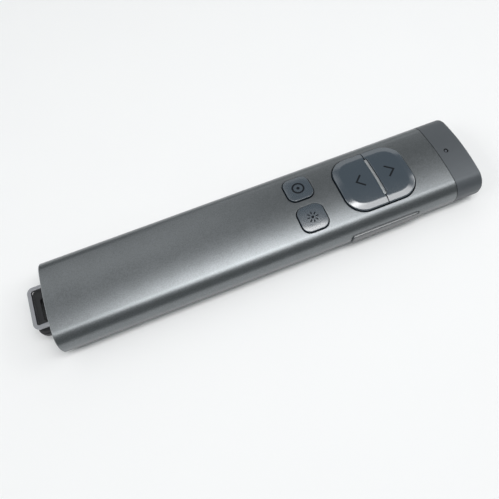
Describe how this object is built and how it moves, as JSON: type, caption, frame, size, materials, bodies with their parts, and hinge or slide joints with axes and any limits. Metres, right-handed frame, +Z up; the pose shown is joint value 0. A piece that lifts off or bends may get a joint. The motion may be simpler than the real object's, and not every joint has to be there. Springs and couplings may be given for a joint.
{
  "type": "wireless presentation clicker",
  "caption": "Slim wireless presentation clicker: extruded metal body, large split key, two small keys, side rocker, power slider, laser end and pull-out receiver.",
  "frame": {"origin": "middle of the flat underside of the body, halfway between its two ends, the loop left out", "axes": "+X towards the laser end, +Z up through the keys, rocker key on the -Y side"},
  "size_m": [0.1558, 0.0325, 0.0139],
  "materials": {
    "anodised_aluminium": "blasted and anodised, gunmetal grey",
    "cap_plastic": "fine matte moulding, slightly bluish grey",
    "key_plastic": "matte, slate grey",
    "divider_metal": "satin",
    "loop_metal": "stamped, satin",
    "inner_plastic": "matte black",
    "board": "solder mask green",
    "steel": "plated",
    "brass": "turned",
    "optical_glass": "polished",
    "light_guide": "clear moulding",
    "cell_wrap": "silver pouch",
    "foam": "closed-cell foam",
    "switch_plastic": "black moulding",
    "stem_plastic": "red-brown moulding",
    "chip_body": "black epoxy"
  },
  "bodies": {
    "root": {"sleeve": "anodised_aluminium", "head_cap": "cap_plastic", "laser_window": "optical_glass", "laser_barrel": "brass", "laser_lens": "optical_glass", "laser_diode": "steel", "laser_board": "board", "status_light_pipe": "light_guide", "status_led": "light_guide", "divider_bar": "divider_metal", "key_frame": "inner_plastic", "rocker_pin": "steel", "volume_up_switch": "switch_plastic", "volume_down_switch": "switch_plastic", "main_board": "board", "board_screws": "steel", "radio_shield": "steel", "radio_chip": "chip_body", "crystal": "steel", "antenna": "chip_body", "battery_socket": "switch_plastic", "power_switch_case": "steel", "charge_port": "steel", "charge_port_tongue": "inner_plastic", "battery_cell": "cell_wrap", "battery_protection_board": "board", "battery_pad": "foam", "chassis": "inner_plastic", "tail_cap": "inner_plastic", "lanyard_loop": "loop_metal", "loop_pin": "steel", "previous_switch_case": "switch_plastic", "next_switch_case": "switch_plastic", "spotlight_switch_case": "switch_plastic", "laser_switch_case": "switch_plastic"},
    "previous_key": {"previous_button": "key_plastic", "previous_switch_stem": "stem_plastic"},
    "next_key": {"next_button": "key_plastic", "next_switch_stem": "stem_plastic"},
    "spotlight_key": {"spotlight_button": "key_plastic", "spotlight_switch_stem": "stem_plastic"},
    "laser_key": {"laser_button": "key_plastic", "laser_switch_stem": "stem_plastic"},
    "rocker": {"volume_rocker": "key_plastic"},
    "power": {"power_slider": "key_plastic", "power_switch_lever": "stem_plastic"},
    "receiver": {"receiver_case": "inner_plastic", "receiver_plug_shell": "steel", "receiver_plug_tongue": "inner_plastic", "receiver_pull": "inner_plastic"}
  },
  "joints": [
    {"name": "previous_press", "type": "slide", "parent": "root", "child": "previous_key", "axis": [0, 0, -1], "range_m": [0, 0.0004], "stiffness_N_per_m": 1500},
    {"name": "next_press", "type": "slide", "parent": "root", "child": "next_key", "axis": [0, 0, -1], "range_m": [0, 0.0004], "stiffness_N_per_m": 1500},
    {"name": "spotlight_press", "type": "slide", "parent": "root", "child": "spotlight_key", "axis": [0, 0, -1], "range_m": [0, 0.0004], "stiffness_N_per_m": 1200},
    {"name": "laser_press", "type": "slide", "parent": "root", "child": "laser_key", "axis": [0, 0, -1], "range_m": [0, 0.0004], "stiffness_N_per_m": 1200},
    {"name": "volume_rock", "type": "hinge", "parent": "root", "child": "rocker", "pos_m": [0.0379, -0.0107, 0.00595], "axis": [0, 0, 1], "range_deg": [-1.5, 1.5], "stiffness_Nm_per_rad": 0.2},
    {"name": "power_slide", "type": "slide", "parent": "root", "child": "power", "axis": [1, 0, 0], "range_m": [0, 0.0025]},
    {"name": "receiver_draw", "type": "slide", "parent": "root", "child": "receiver", "axis": [-1, 0, 0], "range_m": [0, 0.02]}
  ]
}
